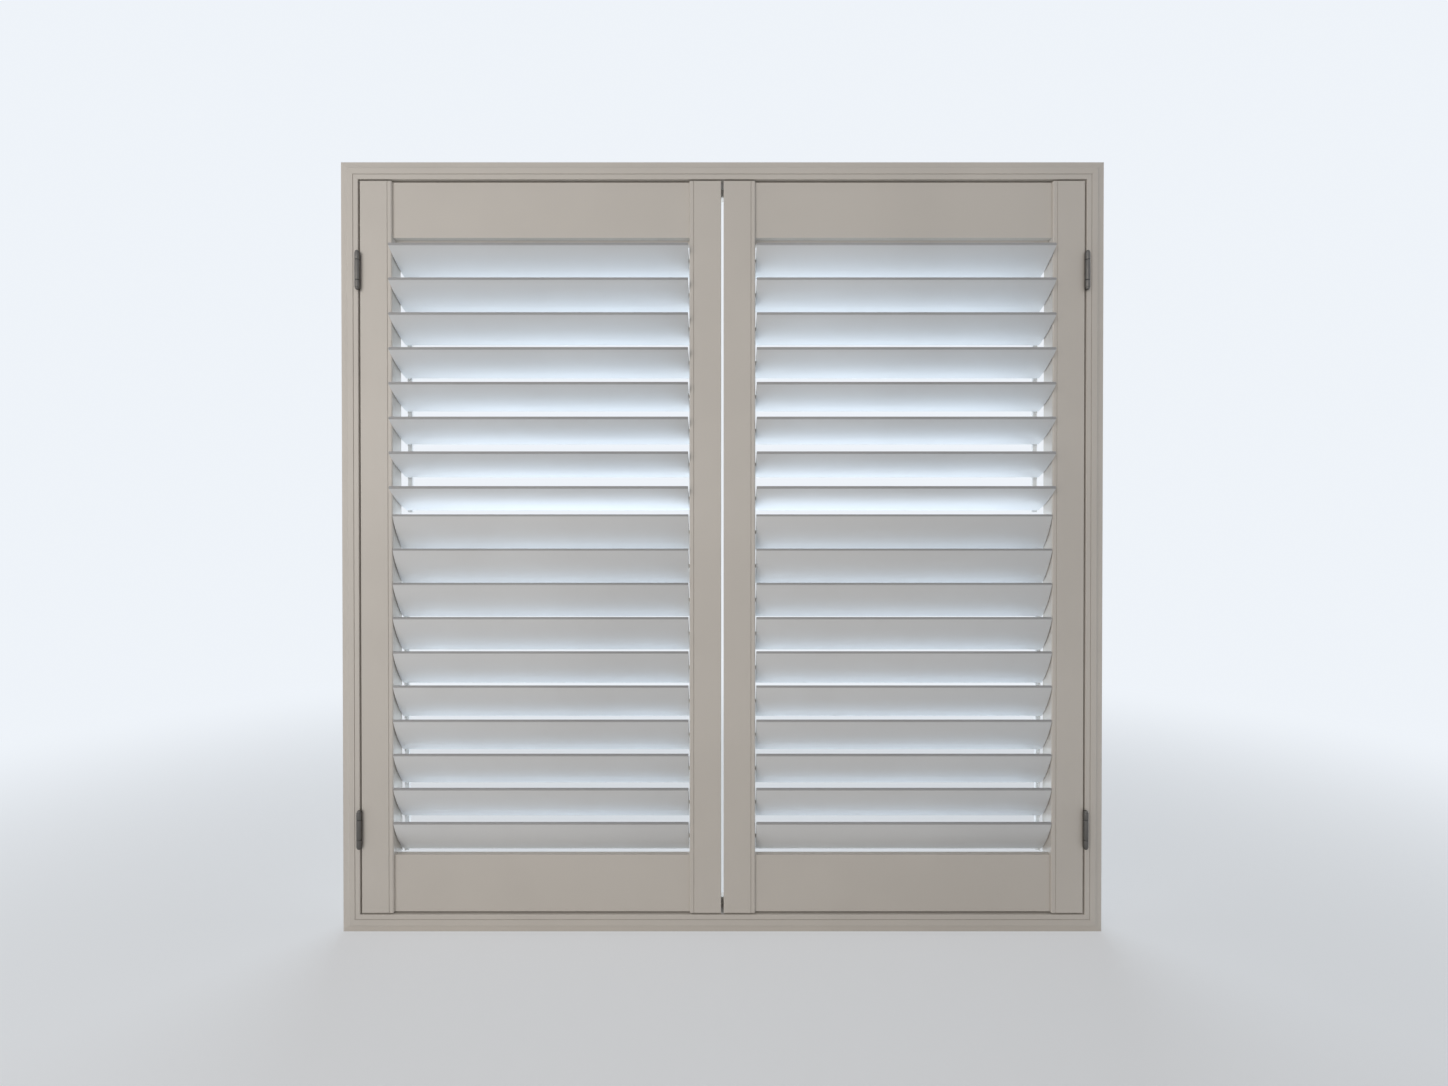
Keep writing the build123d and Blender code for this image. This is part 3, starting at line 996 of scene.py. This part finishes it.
@dataclass(frozen=True)
class Screw:
    """A raised screw head with a cross recess."""

    radius: float = 2.9 * MM
    rise: float = 0.22 * MM
    recess_radius: float = 1.5 * MM
    recess_width: float = 0.55 * MM
    recess_share: float = 0.85
    dome_power: int = 4
    ring_shares: tuple[float, ...] = (
        1.0, 1.0, 0.94, 0.8, 0.62, 0.52, 0.5, 0.4, 0.3, 0.2, 0.1, 0.03,
    )
    ring_points: int = 48

    def head(self, seat: Place, outwards: Place, turn: float) -> Surface:
        """The head, on a polar grid.

        The height is the rise times 1 less the fourth power of the radius share. Inside the
        recess's radius a share of it is taken away where the lesser of the distances from the
        lines of a cross is under half the recess's width. The outermost ring is sunk by the rise.

        Args:
            seat: the middle of the head on the face that it is driven into.
            outwards: the direction away from that face, along X or Y.
            turn: the angle of the cross, in radians.

        Returns:
            The closed head.
        """
        shares = np.array(self.ring_shares)[:, None]
        disc = circle(self.ring_points) * self.radius * shares[..., None]
        height = self.rise * (1.0 - np.broadcast_to(shares, disc.shape[:2]) ** self.dome_power)
        a = disc[..., 0] * math.cos(turn) + disc[..., 1] * math.sin(turn)
        b = disc[..., 1] * math.cos(turn) - disc[..., 0] * math.sin(turn)
        arm = np.minimum(np.abs(a), np.abs(b)) < self.recess_width / 2
        inside = np.hypot(a, b) < self.recess_radius
        height = np.where(arm & inside, height * (1.0 - self.recess_share), height)
        height[0] = -self.rise
        up = np.array((0.0, 0.0, 1.0))
        beside = np.cross(outwards, up)
        flat = disc[..., 0:1] * beside + disc[..., 1:2] * up
        return lofted(seat + flat + height[..., None] * np.array(outwards))


@dataclass(frozen=True)
class HingeScrews(HingeWork):
    """The screws of the hinge leaves, three to a leaf in a zigzag, each turned its own way."""

    kind: str = "hinge_screws"
    stands_for: str = ""
    screw: Screw = Screw()
    leaf_gap: float = 0.6 * MM
    spacing: float = 19.0 * MM
    near_setback: float = 6.0 * MM
    far_setback: float = 14.0 * MM
    row_turn: float = 0.6
    side_turn: float = 0.3
    height_turn: float = 2.0

    def surfaces(self, side: Side, on_panel: bool) -> list[Surface]:
        """The screws on one side's leaves.

        Args:
            side: the half that is meant.
            on_panel: true for the leaves on the panel, false for those on the jamb.

        Returns:
            One head for each screw.
        """
        line = HingeLine.of(side)
        face = line.edge + LEAF_THICKNESS + (0.0 if on_panel else self.leaf_gap)
        outwards = (side.value if on_panel else -side.value, 0.0, 0.0)
        heads = []
        for middle in line.middles:
            for row in (-1, 0, 1):
                near = (row == 0) == on_panel
                setback = self.near_setback if near else self.far_setback
                seat = (side.value * face, line.face + setback, middle + row * self.spacing)
                turn = self.row_turn * row + self.side_turn * side.value + self.height_turn * middle
                heads.append(self.screw.head(seat, outwards, turn))
        return heads


@dataclass(frozen=True)
class StrikeScrews:
    """Two small screws through each strike plate on the back of a meeting stile."""

    screw: Screw = Screw(
        radius=2.2 * MM, rise=0.12 * MM, recess_radius=1.2 * MM, recess_width=0.5 * MM
    )
    half_spacing: float = 9.0 * MM
    half_plate: float = 4.0 * MM
    turn: float = 0.5

    def heads(self, side: Side) -> list[Surface]:
        """The screws on one panel.

        Args:
            side: the half that is meant.

        Returns:
            One head for each screw.
        """
        low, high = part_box(side.named("strike_plates"))
        middle = (low[0] + high[0]) / 2
        return [
            self.screw.head(
                (middle + way * self.half_spacing, high[1], z), (0.0, 1.0, 0.0), way * self.turn + z
            )
            for z in (low[2] + self.half_plate, high[2] - self.half_plate)
            for way in (-1, 1)
        ]

    def build(self, steel: Material) -> list[Object]:
        """Make the screws on both panels.

        Args:
            steel: their finish.

        Returns:
            The screws on the left and on the right panel.
        """
        return [
            make_piece(
                side.named("strike_screws"), self.heads(side), (steel,), side.named("panel"),
            )
            for side in Side
        ]


@dataclass(frozen=True)
class MagneticCatches:
    """The catches let into the light stop: a plastic case with two steel pole strips."""

    width: float = 28.0 * MM
    height: float = 7.0 * MM
    corner: float = 1.0 * MM
    ease: float = 0.4 * MM
    pole_length: float = 23.0 * MM
    pole_height: float = 1.3 * MM
    pole_offset: float = 1.7 * MM
    pole_corner: float = 0.26 * MM
    pole_rise: float = 0.08 * MM

    def one(self, x: float, z: float, deep: Span) -> list[Surface]:
        """One catch.

        Args:
            x: X of its middle.
            z: Z of its middle.
            deep: Y of its front and of its rear.

        Returns:
            The case with the first finish, and both pole strips with the second.
        """
        front, rear = deep
        outline = rounded_outline((x, z), (self.width, self.height), self.corner)
        blocks = [eased_rings(outline, front, rear, self.ease, 0.0)]
        size = (self.pole_length, self.pole_height)
        for way in (-1, 1):
            outline = rounded_outline((x, z + way * self.pole_offset), size, self.pole_corner)
            start, stop = front - self.pole_rise, front + self.corner
            blocks.append(eased_rings(outline, start, stop, self.pole_rise, 0.0))
        return [lofted(rings[..., (1, 0, 2)], finish) for rings, finish in zip(blocks, (0, 1, 1))]

    def build(self, case: Material, steel: Material) -> list[Object]:
        """Make the catches in place of their CAD node.

        Args:
            case: finish of the cases.
            steel: finish of the pole strips.

        Returns:
            One piece with all four catches.
        """
        low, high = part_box("magnetic_catches")
        strike_low, strike_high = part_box("right_strike_plates")
        middle = (strike_low[0] + strike_high[0]) / 2
        surfaces = []
        for x in (-middle, middle):
            for z in (low[2] + self.height / 2, high[2] - self.height / 2):
                surfaces += self.one(x, z, (low[1], high[1]))
        return [
            make_piece(
                "moulded_magnetic_catches", surfaces, (case, steel), "frame",
                ("magnetic_catches",),
            )
        ]


@dataclass(frozen=True)
class KeptPieces:
    """The pieces that keep their CAD shape, told by the ends of their nodes' names."""

    across: tuple[str, ...] = ("_head", "_sill", "_rail")
    upright: tuple[str, ...] = ("_jamb_left", "_jamb_right", "_stile")
    rods: tuple[str, ...] = ("_tilt_rod",)
    strikes: tuple[str, ...] = ("_strike_plates",)

    def dress(
        self, along_x: Material, along_z: Material, coat: Material, steel: Material
    ) -> list[Object]:
        """Give every piece its finish.

        Args:
            along_x: the paint that runs along X.
            along_z: the paint that runs along Z.
            coat: finish of the rods.
            steel: finish of the strike plates.

        Returns:
            The dressed nodes.
        """
        groups = (self.across, self.upright, self.rods, self.strikes)
        dressed = []
        for ends, finish in zip(groups, (along_x, along_z, coat, steel)):
            nodes = [node for name, node in frame["nodes"].items() if name.endswith(ends)]
            for material_slot in (slot for node in nodes for slot in node.material_slots):
                material_slot.link = "OBJECT"
                material_slot.material = finish
            dressed += nodes
        return dressed


@dataclass(frozen=True)
class SoftLight:
    """A large soft lamp that the camera doesn't see."""

    name: str
    place: Place
    aim: Place
    size: Span
    power: float
    colour: Colour

    def build(self) -> None:
        """Hang the lamp."""
        lamp = bpy.data.lights.new(self.name, "AREA")
        lamp.shape = "RECTANGLE"
        lamp.size, lamp.size_y = self.size
        lamp.energy = self.power
        lamp.color = self.colour
        holder = bpy.data.objects.new(self.name, lamp)
        holder.location = self.place
        holder.rotation_mode = "QUATERNION"
        aim = Vector(self.aim) - Vector(self.place)
        holder.rotation_quaternion = aim.to_track_quat("-Z", "Y")
        holder.visible_camera = False
        bpy.context.scene.collection.objects.link(holder)


@dataclass(frozen=True)
class Studio:
    """A plain pale floor and background with soft light from the rear and from the front.

    With distance the floor fades into the background, of which it has a share, the floor glow,
    everywhere.
    """

    floor_colour: Colour = (0.88, 0.87, 0.86)
    floor_radii: tuple[float, ...] = (14.0, 4.0, 1.0, 0.02)
    floor_points: int = 96
    floor_glow: float = 0.4
    fade_from: float = 0.8
    fade_to: float = 2.6
    background: Colour = (0.86, 0.90, 0.95)
    ambient: Colour = (0.84, 0.84, 0.84)
    ambient_strength: float = 0.34
    lights: tuple[SoftLight, ...] = (
        SoftLight("window_light", (0.0, 2.6, 1.45), (0.0, 0.0, 0.6), (3.6, 2.2), 53.0, COOL_LIGHT),
        SoftLight("window_bounce", (0.0, 0.6, 0.02), (0.0, 0.59, 1.0), (2.4, 0.9), 14.0, COOL_LIGHT),
        SoftLight("room_light", (-1.3, -2.6, 1.3), (0.0, 0.0, 0.6), (2.4, 1.8), 27.0, WARM_LIGHT),
    )

    def floor_material(self) -> Material:
        """Make the floor's finish.

        Returns:
            Matt paint that fades into the background.
        """
        material, graph = new_material("pale_floor")
        place = graph.node("TexCoord", output="Object")
        distance = graph.node("VectorMath", {"operation": "LENGTH"}, {0: place}, "Value")
        far = graph.band(distance, self.fade_from, self.fade_to)
        fade = (far * (1.0 - self.floor_glow) + self.floor_glow) * graph.seen()
        matt = graph.node("BsdfDiffuse", None, {"Color": self.floor_colour})
        glow = graph.node("Emission", None, {"Color": self.background, "Strength": 1.0})
        graph.end(graph.node("MixShader", None, {0: fade, 1: matt, 2: glow}))
        return material

    def lay_floor(self) -> None:
        """Lay the floor: flat rings of points about the origin, joined by four-sided faces."""
        count, size = len(self.floor_radii), self.floor_points
        flat = circle(size) * np.array(self.floor_radii)[:, None, None]
        points = np.concatenate((flat, np.zeros((count, size, 1))), axis=-1).reshape(-1, 3)
        middle = np.arange(size) + (count - 1) * size
        mesh = bpy.data.meshes.new("floor")
        mesh.from_pydata(points, [], [*bands(count, size).tolist(), middle.tolist()])
        mesh.materials.append(self.floor_material())
        floor = bpy.data.objects.new("floor", mesh)
        bpy.context.scene.collection.objects.link(floor)

    def fill_world(self) -> None:
        """Fill the world: the background for what is seen, a plain soft light for the rest."""
        world = bpy.data.worlds.new("soft_room")
        world.use_nodes = True
        bpy.context.scene.world = world
        graph = Graph(world.node_tree)
        soft = {"Color": self.ambient, "Strength": self.ambient_strength}
        light = graph.node("Background", None, soft)
        backdrop = graph.node("Background", None, {"Color": self.background, "Strength": 1.0})
        mixed = graph.node("MixShader", None, {0: graph.seen(), 1: light, 2: backdrop})
        graph.end(mixed, "OutputWorld")

    def build(self) -> None:
        """Lay the floor, fill the world and hang the lamps."""
        self.lay_floor()
        self.fill_world()
        for light in self.lights:
            light.build()
        bpy.context.scene.view_settings.view_transform = "Standard"


@dataclass(frozen=True)
class RoomCamera:
    """A very wide camera in front, level with the middle of the frame."""

    distance: float = 1.0
    off_centre: float = 2.6 * MM
    height: float = 608.7 * MM
    dip_degrees: float = 0.32
    image_width: float = 1448.0
    focal_pixels: float = 613.7
    shift_pixels: float = 16.2
    sensor: float = 36.0
    nearest: float = 0.05
    farthest: float = 60.0

    def build(self) -> None:
        """Set the camera up and make it the scene's."""
        data = bpy.data.cameras.new("room_camera")
        data.sensor_width = self.sensor
        data.lens = self.focal_pixels / self.image_width * self.sensor
        data.shift_y = self.shift_pixels / self.image_width
        data.clip_start = self.nearest
        data.clip_end = self.farthest
        camera = bpy.data.objects.new("room_camera", data)
        camera.location = (self.off_centre, -self.distance, self.height)
        camera.rotation_euler = (math.radians(90.0 - self.dip_degrees), 0.0, 0.0)
        bpy.context.scene.collection.objects.link(camera)
        bpy.context.scene.camera = camera


def clear_scene() -> None:
    """Remove whatever the file held before the frame was loaded."""
    kept = {*frame["nodes"].values(), *frame["bodies"].values()}
    for item in list(bpy.data.objects):
        if item not in kept:
            bpy.data.objects.remove(item)


def main() -> None:
    """Dress the frame, add what is left to looks, and set the studio and the camera."""
    logging.basicConfig(level=logging.INFO, format="%(message)s")
    clear_scene()
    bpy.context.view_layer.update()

    paint_across = SatinPaint("satin_paint_across", Lay.ALONG_X).material()
    paint_upright = SatinPaint("satin_paint_upright", Lay.ALONG_Z).material()
    # The louvres get a lighter, cooler copy of the frame's paint: painted daylight on the louvres.
    daylit_louvre_paint = SatinPaint(
        "satin_paint_louvres", Lay.ALONG_X, colour=(0.806, 0.83, 0.852),
        drift_colour=(0.778, 0.799, 0.818), crease_shade_reach=3.0 * MM, crease_shade_strength=0.10,
        handled_colour=(0.36, 0.36, 0.37), handled_strength=0.8,
    ).material()
    hinge_steel = DullSteel("dull_hinge_steel", Lay.ALONG_Z).material()
    bright_steel = DullSteel(
        "plated_steel", Lay.ALONG_X, colour=(0.52, 0.51, 0.50), hollow_shade_strength=0.4
    ).material()
    nylon = MouldedPlastic("white_nylon", (0.74, 0.73, 0.70), 0.42).material()
    powder_coat = MouldedPlastic("white_powder_coat", (0.84, 0.84, 0.83), 0.34).material()
    black_case = MouldedPlastic("black_case", (0.03, 0.028, 0.026), 0.5).material()

    pieces = [
        *KeptPieces().dress(paint_across, paint_upright, powder_coat, bright_steel),
        *Louvre().build(daylit_louvre_paint, nylon),
        *HingeLeaves().build(hinge_steel),
        *HingePins().build(hinge_steel),
        *HingeScrews().build(hinge_steel),
        *StrikeScrews().build(bright_steel),
        *MagneticCatches().build(black_case, bright_steel),
    ]
    for piece in pieces:
        finishes = ", ".join(slot.material.name for slot in piece.material_slots)
        log.info("%s: %d faces in %s", piece.name, len(piece.data.polygons), finishes)

    Studio().build()
    RoomCamera().build()


if __name__ == "__main__":
    main()
